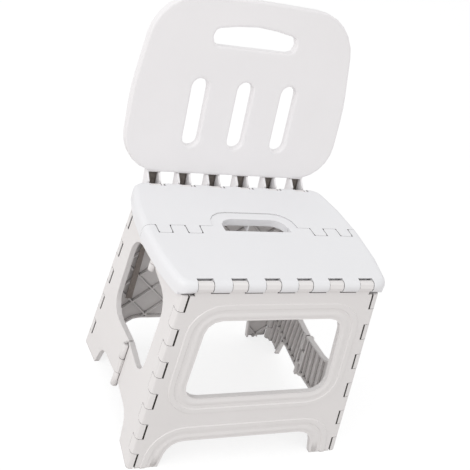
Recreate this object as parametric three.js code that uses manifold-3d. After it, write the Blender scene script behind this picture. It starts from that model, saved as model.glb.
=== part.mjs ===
// A folding step stool of moulded polypropylene with a backrest on its rear hinge rod. The front and rear
// legs hang on two rods under the seat's rolled edges, the seat breaks along its middle, and each side
// is two C-shaped panels that fold inwards between the legs.
// Millimetres, +Z up, the sitter faces -Y. Depths are measured down from the top of the seat.
import * as THREE from 'three';
import { mergeVertices } from 'three/addons/utils/BufferGeometryUtils.js';
import Module from 'manifold-3d';

const wasm = await Module();
wasm.setup();

// Stance of the open stool
const seatHeight = 309;
const hingeSpan = 228.4;
const sideSpan = 287.1;
const legSplayShare = 0.067;
const sideSplayShare = 0.072;
const sideBendDegrees = 4;

// Clearances
const overrun = 20;
const pinGap = 0.3;
const knuckleGap = 0.6;
const seamGap = 0.4;
const fingerGap = 1;
const floorOverrun = 12;

// Rolled seat edge, its rods and the clips that hook over them
const barrelRadius = 9.3;
const rodRadius = 2.5;
const rodHalfLength = 138;
const rodEndGap = 1;
const clipCount = 6;
const clipPitch = 47;
const clipWidth = 21.2;
const clipRadius = 8.8;
const clipFlatHeight = 7.3;
const clipMouth = 0.5;
const clipNeckBack = 3;
const narrowClipWidth = 14.2;
const notchWidth = 22.6;
const notchSetback = 3.5;
const notchRadius = 9.6;
const rearNotchLead = 1.6;

// Leg panels
const legFaceLead = 3.2;
const legThickness = 8;
const skin = 3;
const rimWidth = 2.8;
const legTopDepth = 19.1;
const shoulderDepth = 22.7;
const shoulderHalfWidth = 127.5;
const legWindow = { top: 61.8, bottom: 190, topHalf: 100, bottomHalf: 110, radius: 22 };
const frontArch = { top: 265, topHalf: 112, footHalf: 121, radius: 27 };
const rearArch = { top: 257, topHalf: 108, footHalf: 118, radius: 24 };
const mouldingOuter = 26;
const mouldingInner = 17;
const mouldingHeight = 1.2;
const frontLatticePitch = 58;
const rearLatticePitch = 38;
const latticeBar = 2;

// Corner hinges between leg and side panels
const cornerBehindLeg = 8.5;
const cornerBehindSide = 8;
const cornerBarrel = 5.6;
const cornerRodRadius = 2.5;
const cornerRounding = 5;
const cornerSlot = 2.2;
const cornerReach = 9;
const cornerTopDepth = 22;
const bandTop = 21.2;
const bandCount = 11;
const cornerRodEnd = 4;

// Side panels, each the front or rear half of one side
const sideThickness = 7.8;
const sideTopDepth = 22.7;
const middleTopDepth = 31.5;
const sideWindow = { top: 62, bottom: 196, half: 78, radius: 30 };
const sideArch = { top: 268, half: 72, footHalf: 84, radius: 22 };
const sideRibPitch = 14;
const sideCrossPitch = 90;
const sideRib = 1.6;
const middleGap = 0.8;

// Middle hinges, where the two halves of a side meet
const middleProud = 2;
const middleBarrel = 5.5;
const middlePinRadius = 1.6;
const middlePinEnd = 1;
const lowerHinge = { top: 201, knuckle: 26 };
const upperHinge = { top: 33, knuckle: 12 };
const middleBorder = 9;

// Seat
const seatEndArc = 500;
const seatHalfWidth = 167;
const seatCornerRadius = 22;
const skirtDepth = 22;
const edgeDepth = 18.6;
const edgeBack = 12.5;
const seatWall = 5;
const seatSkin = 3.2;
const seatRib = 2;
const seatRibPitch = 80;
const seatCrossPitch = 80;
const foldWall = 3;

// Fold line across the seat: fingers of the two halves, and the knuckles below them
const frontFinger = 8.3;
const rearFinger = 9.8;
const fingerEdges = [86, 107, 129, 149];
const fingerChamfer = 3.2;
const fingerDepth = 12;
const centreBarrel = 5.5;
const centrePinRadius = 2;
const centrePinInset = 2;
const centreKnuckleInner = 68;
const centreKnuckleOuter = 147;

// Hand hole in the rear half of the seat and the shallow dish around it
const handHole = { half: 51, front: -3, back: 29, radius: 20 };
const handWall = 3;
const handWallDepth = 12;
const handDish = { half: 66.6, back: 45, radius: 31, depth: 1.3 };

// Backrest
const reclineDegrees = 7.81;
const boardSetback = 18.45;
const boardBase = 11.9;
const boardThickness = 13;
const boardEdge = 4.5;
const boardSkin = 3.4;
const boardRim = 5.5;
const boardBottom = { depth: 7, half: 169.5, radius: 58 };
const boardWaist = { up: 128, radius: 300 };
const boardShoulder = { up: 265, half: 150, radius: 72 };
const boardCrown = { up: 269.7, radius: 1400 };
const slot = { pitch: 70.6, width: 24.5, low: 50, high: 152 };
const slotCount = 3;
const handle = { half: 64.5, low: 201, endHigh: 224, high: 235, radius: 10, crownRadius: 180 };
const boardRibPitch = 70;
const armFlange = 3;
const armWeb = 3.4;
const armFront = 9.9;
const armHeel = 6.4;
const armLap = 6;
const armRecess = 2.6;
const armHeelDepth = 13;

// Facets
const arcSag = 0.5;
const edgeSteps = 3;
const barrelSides = 10;
const boreSides = 8;
const mergeGap = 1e-4;

const { degToRad } = THREE.MathUtils;

// Outlines

// Points of a closed outline whose corners [x, y, radius] are rounded by arcs.
function rounded(corners) {
  return corners.flatMap(([x, y, radius = 0], i) => {
    const here = new THREE.Vector2(x, y);
    if (radius === 0) return [here];
    const before = new THREE.Vector2(...corners.at(i - 1)).sub(here).normalize();
    const after = new THREE.Vector2(...corners[(i + 1) % corners.length]).sub(here).normalize();
    const half = Math.acos(before.dot(after)) / 2;
    const run = radius / Math.tan(half);
    const centre = before.clone().add(after).setLength(radius / Math.sin(half)).add(here);
    const from = before.clone().setLength(run).add(here).sub(centre).angle();
    const to = after.clone().setLength(run).add(here).sub(centre).angle();
    const turn = THREE.MathUtils.euclideanModulo(to - from + Math.PI, 2 * Math.PI) - Math.PI;
    const facet = 2 * Math.acos(1 - arcSag / radius);
    const steps = Math.max(2, Math.round(Math.abs(turn) / facet));
    return Array.from({ length: steps + 1 }, (_, k) => {
      const angle = from + (turn * k) / steps;
      return new THREE.Vector2(Math.cos(angle), Math.sin(angle)).multiplyScalar(radius).add(centre);
    });
  });
}

// Mirrors the right half of a list of corners, given from bottom to top, to a closed outline.
function symmetric(corners) {
  return [...corners, ...corners.filter(([x]) => x !== 0).map(([x, ...rest]) => [-x, ...rest]).reverse()];
}

// Solids

function solid(geometry, matrix = new THREE.Matrix4()) {
  const shape = geometry.clone().applyMatrix4(matrix);
  shape.deleteAttribute('normal');
  shape.deleteAttribute('uv');
  const merged = mergeVertices(shape, mergeGap);
  const triVerts = Uint32Array.from(merged.index.array);
  if (matrix.determinant() < 0) {
    for (let i = 0; i < triVerts.length; i += 3) triVerts.subarray(i + 1, i + 3).reverse();
  }
  const vertProperties = merged.attributes.position.array;
  return new wasm.Manifold(new wasm.Mesh({ numProp: 3, vertProperties, triVerts }));
}

function geometryOf(body) {
  const { vertProperties, triVerts } = body.getMesh();
  const geometry = new THREE.BufferGeometry();
  geometry.setAttribute('position', new THREE.BufferAttribute(vertProperties, 3));
  geometry.setIndex(new THREE.BufferAttribute(triVerts, 1));
  return geometry;
}

const moved = (body, matrix) => solid(geometryOf(body), matrix);
const mirrored = (body) => moved(body, new THREE.Matrix4().makeScale(-1, 1, 1));
const joined = (bodies) => bodies.reduce((sum, body) => sum.add(body));

function box(x0, x1, y0, y1, z0, z1) {
  const centre = new THREE.Matrix4().makeTranslation((x0 + x1) / 2, (y0 + y1) / 2, (z0 + z1) / 2);
  return solid(new THREE.BoxGeometry(x1 - x0, y1 - y0, z1 - z0), centre);
}

// A plate with the given outline between two heights along z.
function plate(points, low, high) {
  const geometry = new THREE.ExtrudeGeometry(new THREE.Shape(points), {
    depth: high - low,
    bevelEnabled: false,
  });
  return solid(geometry.translate(0, 0, low));
}

// A bar whose section is given as (x, z) points, running along y.
function barAlongY(points, low, high) {
  const geometry = new THREE.ExtrudeGeometry(new THREE.Shape(points), {
    depth: high - low,
    bevelEnabled: false,
  });
  return solid(geometry.rotateX(Math.PI / 2).translate(0, high, 0));
}

// A bar whose section is given as (y, z) points, running along x.
function barAlongX(points, low, high) {
  const geometry = new THREE.ExtrudeGeometry(new THREE.Shape(points), {
    depth: high - low,
    bevelEnabled: false,
  });
  const turn = new THREE.Matrix4().set(0, 0, 1, low, 1, 0, 0, 0, 0, 1, 0, 0, 0, 0, 0, 1);
  return solid(geometry, turn);
}

function rodAlongY(radius, low, high, sides = barrelSides) {
  const geometry = new THREE.CylinderGeometry(radius, radius, high - low, sides);
  return solid(geometry.translate(0, (low + high) / 2, 0));
}

function rodAlongX(radius, low, high, sides = barrelSides) {
  const geometry = new THREE.CylinderGeometry(radius, radius, high - low, sides);
  return solid(geometry.rotateZ(Math.PI / 2).translate((low + high) / 2, 0, 0));
}

// Parallel bars of a rib pattern across a square field, turned about z.
function ribs(pitch, width, reach, turnAngle, low, high, centre = new THREE.Vector2()) {
  const count = Math.floor(reach / pitch);
  const place = new THREE.Matrix4()
    .makeTranslation(centre.x, centre.y, 0)
    .multiply(new THREE.Matrix4().makeRotationZ(turnAngle));
  const bars = Array.from({ length: 2 * count + 1 }, (_, i) => {
    const x = (i - count) * pitch;
    return box(x - width / 2, x + width / 2, -reach, reach, low, high);
  });
  return moved(joined(bars), place);
}

// Frames of the pieces, in the frame of the open stool

function frameOf(across, up, origin) {
  return new THREE.Matrix4().makeBasis(across, up, across.clone().cross(up)).setPosition(origin);
}

const legTilt = Math.atan(legSplayShare);
const sideTilt = Math.atan(sideSplayShare);
const rodHeight = seatHeight - barrelRadius;
const frontRod = new THREE.Vector3(0, -hingeSpan / 2, rodHeight);
const rearRod = new THREE.Vector3(0, hingeSpan / 2, rodHeight);
const alongX = new THREE.Vector3(1, 0, 0);

// Leg frame: x across, y up the leg, z out of its face, origin on the hinge rod.
const legUp = new THREE.Vector3(0, Math.sin(legTilt), Math.cos(legTilt));
const legFrame = frameOf(alongX, legUp, frontRod);
const legOut = alongX.clone().cross(legUp);

// The front left corner axis lies a set depth behind the leg's face and inside the side's face.
const sideOut = new THREE.Vector3(-Math.cos(sideTilt), 0, Math.sin(sideTilt));
const cornerUp = sideOut.clone().cross(legOut).normalize();
const cornerPoint = (() => {
  const z = seatHeight - cornerTopDepth;
  const legPlane = legOut.dot(frontRod) + legFaceLead - cornerBehindLeg;
  const sidePlane = sideOut.dot(new THREE.Vector3(-sideSpan / 2, 0, seatHeight)) - cornerBehindSide;
  const y = (z * legOut.z - legPlane) / -legOut.y;
  const x = (z * sideOut.z - sidePlane) / -sideOut.x;
  return new THREE.Vector3(x, y, z);
})();
const cornerFrame = frameOf(cornerUp.clone().cross(legOut), cornerUp, cornerPoint);
const cornerInLeg = legFrame.clone().invert().multiply(cornerFrame);

// Side frame: x from the corner axis to the middle of the side, y up the axis, z into the stool.
const panelOut = sideOut.clone().applyAxisAngle(cornerUp, -degToRad(sideBendDegrees));
const panelAcross = panelOut.clone().cross(cornerUp);
const sideFrame = frameOf(panelAcross, cornerUp, cornerPoint);
const intoSide = sideFrame.clone().invert();

// The middle axis stands proud of the side's face, on the plane halfway between the legs.
function onPanelPlane(y, depth, proud) {
  const z = seatHeight - depth;
  const plane = panelOut.dot(cornerPoint) + cornerBehindSide + proud;
  return new THREE.Vector3((plane - panelOut.y * y - panelOut.z * z) / panelOut.x, y, z);
}
const middleTop = onPanelPlane(0, 0, middleProud);
const middleUp = middleTop.clone().sub(onPanelPlane(0, seatHeight, middleProud)).normalize();
const middleInSide = (() => {
  const up = middleUp.clone().transformDirection(intoSide);
  const across = up.clone().cross(new THREE.Vector3(0, 0, 1));
  return frameOf(across, up, middleTop.clone().applyMatrix4(intoSide));
})();

// Height up the leg, up a corner axis or up a middle axis of a point at some depth.
const upLeg = (depth) => (barrelRadius - depth - legFaceLead * Math.sin(legTilt)) / Math.cos(legTilt);
const upCorner = (depth) => (cornerTopDepth - depth) / cornerUp.z;
const upMiddle = (depth) => -depth / middleUp.z;

// A place on the side panel's face, from its distance to the middle plane and its depth.
function onSide(fromMiddle, depth) {
  const local = onPanelPlane(-fromMiddle, depth, 0).applyMatrix4(intoSide);
  return [local.x, local.y];
}

// Everything below the floor, or above some depth, seen from a piece's own frame.
function layer(frame, low, high) {
  const reach = 2 * seatHeight;
  return moved(box(-reach, reach, -reach, reach, low, high), frame.clone().invert());
}
const belowFloor = (frame) => layer(frame, -seatHeight, 0);
const aboveDepth = (frame, depth) => layer(frame, seatHeight - depth, 2 * seatHeight);

// Hinge bands down a corner: the side panel has the even ones, the leg the odd ones.
const bandHeight = (seatHeight - bandTop) / bandCount;
function bands(first) {
  const list = [];
  for (let k = first; k < bandCount; k += 2) {
    const top = Math.max(bandTop + k * bandHeight, sideTopDepth - knuckleGap / 2);
    const foot = k === bandCount - 1 ? floorOverrun : -knuckleGap / 2;
    list.push([upCorner(bandTop + (k + 1) * bandHeight + foot), upCorner(top + knuckleGap / 2)]);
  }
  return list;
}

// Places of the clips and arms along the hinge rods.
const clipPlaces = Array.from({ length: clipCount }, (_, i) => (i - (clipCount - 1) / 2) * clipPitch);

// Materials
const plastic = (color, roughness) => new THREE.MeshStandardMaterial({ color, roughness, metalness: 0 });
const seatPlastic = () => plastic(0xecedef, 0.45);
const panelPlastic = () => plastic(0xdfdbdb, 0.5);
const steel = () => new THREE.MeshStandardMaterial({ color: 0xb9bcc0, roughness: 0.3, metalness: 1 });

// Leg panels, in the leg frame

const legFace = legFaceLead;
const legBack = legFaceLead - legThickness;
const legEdge = cornerReach - cornerBehindSide + cornerSlot;

// Outline corners of a leg's arch or window, grown by some margin.
function archCorners({ top, topHalf, footHalf, radius }, margin) {
  const slope = (footHalf - topHalf) / (seatHeight - top);
  const below = footHalf + slope * floorOverrun;
  return symmetric([
    [below + margin, upLeg(seatHeight + floorOverrun)],
    [topHalf + margin, upLeg(top - margin), Math.min(radius, seatHeight - top) + margin],
  ]);
}

function windowCorners({ top, bottom, topHalf, bottomHalf, radius }, margin) {
  return symmetric([
    [bottomHalf + margin, upLeg(bottom + margin), radius + margin],
    [topHalf + margin, upLeg(top - margin), radius + margin],
  ]);
}

// The leg's plate between its hinge edges, drawn in by some margin.
function legField(arch, windowed, margin, low, high) {
  const shoulder = upLeg(shoulderDepth + margin);
  const foot = upLeg(seatHeight + floorOverrun);
  const corner = new THREE.Vector3(legEdge + margin, 0, 0).applyMatrix4(cornerInLeg);
  const along = cornerUp.clone().transformDirection(legFrame.clone().invert());
  const edgeAt = (y) => -corner.x - ((y - corner.y) * along.x) / along.y;
  const blank = plate(
    rounded(
      symmetric([
        [edgeAt(foot), foot],
        [edgeAt(shoulder), shoulder],
        [shoulderHalfWidth - margin, shoulder],
        [shoulderHalfWidth - margin, upLeg(legTopDepth + margin)],
      ]),
    ),
    low,
    high,
  );
  const opened = blank.subtract(plate(rounded(archCorners(arch, margin)), low - overrun, high + overrun));
  if (!windowed) return opened;
  return opened.subtract(plate(rounded(windowCorners(legWindow, margin)), low - overrun, high + overrun));
}

// A raised band that follows an opening's outline at some distance, with sloping edges.
function moulding(cornersAt) {
  const sloped = (margin, low) => {
    const geometry = new THREE.ExtrudeGeometry(new THREE.Shape(rounded(cornersAt(margin))), {
      depth: mouldingHeight,
      bevelThickness: mouldingHeight,
      bevelSize: mouldingHeight,
      bevelSegments: 1,
    });
    return solid(geometry.translate(0, 0, low));
  };
  const core = plate(rounded(cornersAt(mouldingInner)), legBack, legFace);
  return sloped(mouldingOuter - mouldingHeight, legFace - mouldingHeight)
    .subtract(sloped(mouldingInner, legFace + mouldingHeight))
    .subtract(core);
}

// Knuckles that wrap round the left corner from the leg, in the corner frame.
function legKnuckles() {
  const legInner = cornerBehindLeg - legThickness;
  const section = rounded([
    [-cornerBehindSide, cornerBehindLeg, cornerRounding],
    [-cornerBehindSide, -cornerBarrel],
    [cornerBarrel, -cornerBarrel, cornerBarrel],
    [cornerBarrel, legInner],
    [legEdge + rimWidth, legInner],
    [legEdge + rimWidth, cornerBehindLeg],
  ]);
  return joined(bands(1).map(([low, high]) => barAlongY(section, low, high)));
}

// Room behind the lip of the leg's edge for the side panel's knuckles.
function legKnuckleRoom() {
  const room = cornerBarrel + knuckleGap;
  return joined(
    bands(0).map(([low, high]) => box(-room, room, low - knuckleGap, high + knuckleGap, -overrun, room)),
  );
}

const cornerBore = () =>
  rodAlongY(cornerRodRadius + pinGap, -seatHeight - overrun, overrun, boreSides);

// Hooks over the hinge rod: each is a ring with a flat on top and a mouth towards the seat.
function clips(width) {
  const ring = clipPlaces.map((x) => {
    const hook = rodAlongX(clipRadius, x - width / 2, x + width / 2, barrelSides);
    const mouth = box(x - width, x + width, 0, overrun, -overrun, -clipMouth);
    const flat = box(x - width, x + width, clipFlatHeight, overrun, -overrun, overrun);
    const foot = upLeg(legTopDepth + rimWidth);
    const neck = box(x - width / 2, x + width / 2, foot, 0, -clipNeckBack, legFace);
    return hook.add(neck).subtract(mouth).subtract(flat);
  });
  return joined(ring);
}

function legPanel(arch, windowed, width, pitch) {
  const pockets = legField(arch, windowed, rimWidth, legBack - overrun, legFace - skin)
    .subtract(ribs(pitch, latticeBar, seatHeight, Math.PI / 4, legBack - overrun, legFace))
    .subtract(ribs(pitch, latticeBar, seatHeight, -Math.PI / 4, legBack - overrun, legFace));
  const mouldings = moulding((margin) => archCorners(arch, margin)).add(
    moulding((margin) => windowCorners(legWindow, margin)),
  );
  const left = moved(legKnuckles(), cornerInLeg);
  const room = moved(legKnuckleRoom(), cornerInLeg);
  const bore = moved(cornerBore(), cornerInLeg);
  return legField(arch, windowed, 0, legBack, legFace)
    .subtract(pockets)
    .add(mouldings)
    .subtract(room)
    .subtract(mirrored(room))
    .add(left)
    .add(mirrored(left))
    .add(clips(width))
    .subtract(bore)
    .subtract(mirrored(bore))
    .subtract(rodAlongX(rodRadius + pinGap, -sideSpan, sideSpan, boreSides))
    .subtract(belowFloor(legFrame));
}

// Side panels, in the side frame: one half of a side, from its corner axis to the middle

const sideFace = -cornerBehindSide;
const sideInner = sideFace + sideThickness;
const sideEdge = cornerBarrel + knuckleGap;
const middleTopReach = rearFinger + seamGap + foldWall + knuckleGap;

function sideField(margin, middleMargin, low, high, edge = sideEdge) {
  const far = hingeSpan;
  const foot = seatHeight + floorOverrun;
  const { top, bottom, half, radius } = sideWindow;
  const middle = middleGap + middleMargin;
  const blank = plate(
    rounded([
      onSide(middle, middleTopDepth + margin),
      onSide(middleTopReach + margin, middleTopDepth + margin),
      onSide(middleTopReach + margin, sideTopDepth + margin),
      onSide(far, sideTopDepth + margin),
      onSide(far, foot),
      onSide(middle, foot),
    ]),
    low,
    high,
  );
  const opening = rounded([
    onSide(-half, top - margin),
    [...onSide(half + margin, top - margin), radius + margin],
    [...onSide(half + margin, bottom + margin), radius + margin],
    onSide(-half, bottom + margin),
  ]);
  const archSlope = (sideArch.footHalf - sideArch.half) / (seatHeight - sideArch.top);
  const below = sideArch.footHalf + archSlope * floorOverrun;
  const arch = rounded([
    onSide(-half, sideArch.top - margin),
    [...onSide(sideArch.half + margin, sideArch.top - margin), sideArch.radius + margin],
    onSide(below + margin, foot),
    onSide(-half, foot),
  ]);
  return blank
    .subtract(plate(opening, low - overrun, high + overrun))
    .subtract(plate(arch, low - overrun, high + overrun))
    .subtract(box(-far, edge + margin, -2 * seatHeight, seatHeight, low - overrun, high + overrun));
}

// Knuckles that wrap round the corner from the side panel.
function sideKnuckles() {
  const inner = cornerReach - cornerBehindSide;
  const section = rounded([
    [-cornerBehindLeg, sideFace, cornerRounding],
    [sideEdge + rimWidth, sideFace],
    [sideEdge + rimWidth, sideInner],
    [cornerBarrel, sideInner],
    [cornerBarrel, cornerBarrel, cornerBarrel],
    [-cornerBarrel, cornerBarrel, cornerBarrel],
    [-cornerBarrel, inner],
    [-cornerBehindLeg, inner],
  ]);
  return joined(bands(0).map(([low, high]) => barAlongY(section, low, high)));
}

// Slots through the face of a rear side panel, beside the leg's knuckles.
function sideSlots() {
  const edge = sideEdge + cornerSlot;
  return joined(
    bands(1).map(([low, high]) => box(0, edge, low, high, sideFace - overrun, sideInner + overrun)),
  );
}

// The three knuckles of a middle hinge as [low, high, index] along the middle axis.
function middleBands({ top, knuckle }) {
  return [0, 1, 2].map((i) => [
    upMiddle(top + (i + 1) * knuckle) + knuckleGap / 2,
    upMiddle(top + i * knuckle) - knuckleGap / 2,
    i,
  ]);
}

// The front half has the middle knuckle, bored for the pin. The rear half's outer knuckles are hooks,
// open to the outside, so that the pin can leave them while the sides fold.
function middleKnuckles(hinge, isFront) {
  const open = middlePinRadius + pinGap;
  const own = middleBands(hinge).filter(([, , i]) => (i === 1) === isFront);
  const made = own.map(([low, high]) => {
    const barrel = rodAlongY(middleBarrel, low, high, barrelSides);
    const root = box(-middleBarrel - middleGap, 0, low, high, 0, middleProud + sideThickness);
    if (isFront) return barrel.add(root).subtract(rodAlongY(open, low - overrun, high + overrun, boreSides));
    const mouth = box(-open, overrun, low - overrun, high + overrun, -overrun, open);
    return barrel.add(root).subtract(mouth);
  });
  return joined(made);
}

function middleKnuckleRoom(hinge, isFront) {
  const other = middleBands(hinge).filter(([, , i]) => (i === 1) !== isFront);
  const reach = middleBarrel + knuckleGap;
  const deep = middleProud + sideThickness + overrun;
  return joined(
    other.map(([low, high]) => box(-reach, overrun, low - knuckleGap, high + knuckleGap, -overrun, deep)),
  );
}

function sidePanel(isFront) {
  const far = seatHeight;
  const centre = new THREE.Vector2(...onSide(0, 0));
  const edge = isFront ? sideEdge : sideEdge + cornerSlot;
  const pockets = sideField(rimWidth, middleBorder, sideFace + skin, sideInner + overrun, edge)
    .subtract(ribs(sideRibPitch, sideRib, far, 0, sideFace, sideInner + overrun, centre))
    .subtract(ribs(sideCrossPitch, sideRib, far, Math.PI / 2, sideFace, sideInner + overrun, centre));
  const hinges = [lowerHinge, upperHinge];
  const own = joined(hinges.map((hinge) => middleKnuckles(hinge, isFront)));
  const room = joined(hinges.map((hinge) => middleKnuckleRoom(hinge, isFront)));
  const blank = sideField(0, 0, sideFace, sideInner).subtract(pockets);
  return (isFront ? blank : blank.subtract(sideSlots()))
    .add(sideKnuckles())
    .subtract(cornerBore())
    .subtract(moved(room, middleInSide))
    .add(moved(own, middleInSide))
    .subtract(aboveDepth(sideFrame, sideTopDepth))
    .subtract(belowFloor(sideFrame));
}

// Seat, in the frame of the open stool with z measured from the seat's top

const halfDepth = hingeSpan / 2 + barrelRadius;
const centreDrop = middleProud + cornerBehindSide + cornerBehindLeg - legFaceLead + barrelRadius;

// The seat's plan: straight front and rear edges, gently bowed ends.
function seatPlan(margin) {
  const bow = (y) => seatHalfWidth - seatEndArc + Math.sqrt(seatEndArc ** 2 - y ** 2);
  const cornerX = bow(halfDepth);
  return rounded(
    symmetric([
      [cornerX - margin, margin - halfDepth, seatCornerRadius - margin / 2],
      [bow(halfDepth / 2) - margin, -halfDepth / 2],
      [seatHalfWidth - margin, 0],
      [bow(halfDepth / 2) - margin, halfDepth / 2],
      [cornerX - margin, halfDepth - margin, seatCornerRadius - margin / 2],
    ]),
  );
}

function seatBlank() {
  const geometry = new THREE.ExtrudeGeometry(new THREE.Shape(seatPlan(0)), {
    depth: skirtDepth - barrelRadius,
    bevelThickness: barrelRadius,
    bevelSize: barrelRadius,
    bevelOffset: -barrelRadius,
    bevelSegments: edgeSteps,
  });
  const reach = seatHalfWidth + overrun;
  return solid(geometry.translate(0, 0, -skirtDepth)).subtract(
    box(-reach, reach, -reach, reach, -skirtDepth - overrun, -skirtDepth),
  );
}

// Room under the rolled front edge, and a shallower underside between the corners.
function underFrontEdge() {
  const reach = seatHalfWidth + overrun;
  const quarter = Array.from({ length: edgeSteps + 1 }, (_, k) => {
    const angle = Math.PI + ((Math.PI / 2) * k) / edgeSteps;
    const y = frontRod.y + barrelRadius * Math.cos(angle);
    return new THREE.Vector2(y, -barrelRadius + barrelRadius * Math.sin(angle));
  });
  const outside = [
    ...quarter,
    new THREE.Vector2(frontRod.y, -skirtDepth - overrun),
    new THREE.Vector2(-halfDepth - overrun, -skirtDepth - overrun),
    new THREE.Vector2(-halfDepth - overrun, -barrelRadius),
  ];
  const shallow = box(
    -shoulderHalfWidth,
    shoulderHalfWidth,
    -halfDepth,
    frontRod.y + edgeBack,
    -skirtDepth - overrun,
    -edgeDepth,
  );
  return barAlongX(outside, -reach, reach).add(shallow);
}

// Notches for the clips of a leg and, at the rear, for the arms of the backrest. They can be wider on one
// side.
function frontNotches(lead) {
  const toRod = new THREE.Matrix4().makeTranslation(0, frontRod.y, -barrelRadius);
  const cut = clipPlaces.map((x) => {
    const low = x - notchWidth / 2 - lead;
    const high = x + notchWidth / 2;
    const room = rodAlongX(notchRadius, low, high, barrelSides);
    return room.add(box(low, high, -overrun, notchSetback, -skirtDepth - overrun, overrun));
  });
  const boreHalf = rodHalfLength + rodEndGap;
  const bore = rodAlongX(rodRadius + pinGap, -boreHalf, boreHalf, boreSides);
  return moved(joined(cut).add(bore), toRod);
}

// One side of the fold line, from the hand hole outwards, as [x, y] corners.
function foldLine(isFront) {
  const reach = seatHalfWidth + overrun;
  const sign = isFront ? 1 : -1;
  const near = isFront ? frontFinger : -rearFinger;
  const far = isFront ? -rearFinger - seamGap : frontFinger + seamGap;
  const edges = [handHole.half, ...fingerEdges, reach];
  const line = isFront
    ? [[0, handHole.front], [handHole.half, handHole.front]]
    : [[0, far]];
  for (let i = 0; i + 1 < edges.length; i += 1) {
    const mine = (i % 2 === 0) === isFront;
    const trim = mine ? fingerGap / 2 : -fingerGap / 2;
    const start = i === 0 ? edges[0] : edges[i] + trim;
    const end = i + 2 === edges.length ? reach : edges[i + 1] - trim;
    const chamferStart = mine && i > 0 ? fingerChamfer : 0;
    const chamferEnd = mine && i + 2 < edges.length ? fingerChamfer : 0;
    const y = mine ? near : far;
    if (chamferStart) line.push([start, y - sign * chamferStart]);
    line.push([start + chamferStart / 2, y], [end - chamferEnd / 2, y]);
    if (chamferEnd) line.push([end, y - sign * chamferEnd]);
  }
  return line;
}

function seatRegion(isFront) {
  const reach = seatHalfWidth + overrun;
  const edge = isFront ? -reach : reach;
  const line = foldLine(isFront);
  const left = line.filter(([x]) => x !== 0).map(([x, y]) => [-x, y]).reverse();
  const points = [...left, ...line, [reach, edge], [-reach, edge]];
  return plate(rounded(points), -2 * skirtDepth, overrun);
}

// Knuckles under the fold line, each a lug that hangs from the skin to the centre pin.
function centreKnuckles(isFront) {
  const edges = [centreKnuckleInner, ...fingerEdges.slice(0, -1), centreKnuckleOuter];
  const back = (isFront ? rearFinger : frontFinger) + seamGap + foldWall;
  const lug = [
    [-back, -seatSkin / 2],
    [-back, -skirtDepth],
    [-centreBarrel / 2, -centreDrop - centreBarrel / 2],
    [centreBarrel, -centreDrop],
    [centreBarrel, -fingerDepth],
    [centreBarrel, -seatSkin / 2],
  ].map(([y, z]) => new THREE.Vector2(isFront ? y : -y, z));
  const toPin = new THREE.Matrix4().makeTranslation(0, 0, -centreDrop);
  const made = [];
  for (let i = isFront ? 0 : 1; i + 1 < edges.length; i += 2) {
    const low = edges[i] + knuckleGap / 2;
    const high = edges[i + 1] - knuckleGap / 2;
    made.push(barAlongX(lug, low, high).add(moved(rodAlongX(centreBarrel, low, high), toPin)));
  }
  return joined(made);
}

function centreBore() {
  const toPin = new THREE.Matrix4().makeTranslation(0, 0, -centreDrop);
  const low = centreKnuckleInner + rodEndGap;
  const high = centreKnuckleOuter - rodEndGap;
  return moved(rodAlongX(centrePinRadius + pinGap, low, high, boreSides), toPin);
}

// Cells between the ribs under one half of the seat.
function seatCells(isFront) {
  const deep = -skirtDepth - overrun;
  const wall = (isFront ? rearFinger : frontFinger) + seamGap + foldWall;
  const edge = hingeSpan / 2 - edgeBack;
  const y0 = isFront ? -edge : wall;
  const y1 = isFront ? -wall : edge;
  const middle = new THREE.Vector2(0, (y0 + y1) / 2);
  const reach = seatHalfWidth + overrun;
  const field = plate(seatPlan(seatWall), deep, -seatSkin).intersect(
    box(-reach, reach, y0, y1, deep - overrun, overrun),
  );
  return field
    .subtract(ribs(seatRibPitch, seatRib, reach, 0, deep - overrun, overrun, middle))
    .subtract(ribs(seatCrossPitch, seatRib, reach, Math.PI / 2, deep - overrun, overrun, middle));
}

function handHoleCorners(margin) {
  return rounded([
    [-handHole.half - margin, handHole.front - overrun],
    [handHole.half + margin, handHole.front - overrun],
    [handHole.half + margin, handHole.back + margin, handHole.radius + margin],
    [-handHole.half - margin, handHole.back + margin, handHole.radius + margin],
  ]);
}

function seatHalf(isFront) {
  const turn = new THREE.Matrix4().makeRotationZ(Math.PI);
  const edgeCuts = underFrontEdge().add(frontNotches(isFront ? 0 : rearNotchLead));
  const knuckles = centreKnuckles(isFront);
  let half = seatBlank().intersect(seatRegion(isFront));
  if (isFront) {
    half = half.subtract(seatCells(true)).subtract(edgeCuts);
  } else {
    const rim = plate(handHoleCorners(handWall), -handWallDepth, overrun);
    const dish = plate(
      rounded([
        [-handDish.half, -overrun],
        [handDish.half, -overrun],
        [handDish.half, handDish.back, handDish.radius],
        [-handDish.half, handDish.back, handDish.radius],
      ]),
      -handDish.depth,
      overrun,
    );
    half = half
      .subtract(seatCells(false).subtract(rim))
      .subtract(plate(handHoleCorners(0), -2 * skirtDepth, overrun))
      .subtract(dish)
      .subtract(moved(edgeCuts, turn));
  }
  return half
    .add(knuckles)
    .add(mirrored(knuckles))
    .subtract(centreBore())
    .subtract(mirrored(centreBore()));
}

// Backrest, in a frame on the rear rod: x across, y up the board, z out of its front face

function boardShape(margin) {
  const low = boardBase + boardBottom.depth;
  return rounded(
    symmetric([
      [boardBottom.half - margin, low + margin, boardBottom.radius - margin],
      [boardBottom.half - margin, boardBase + boardWaist.up, boardWaist.radius],
      [boardShoulder.half - margin, boardBase + boardShoulder.up - margin, boardShoulder.radius - margin],
      [0, boardBase + boardCrown.up - margin, boardCrown.radius],
    ]),
  );
}

function slotShape(x, margin) {
  const half = slot.width / 2 + margin;
  const low = boardBase + slot.low - margin;
  const high = boardBase + slot.high + margin;
  return rounded([
    [x - half, low, half],
    [x + half, low, half],
    [x + half, high, half],
    [x - half, high, half],
  ]);
}

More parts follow.
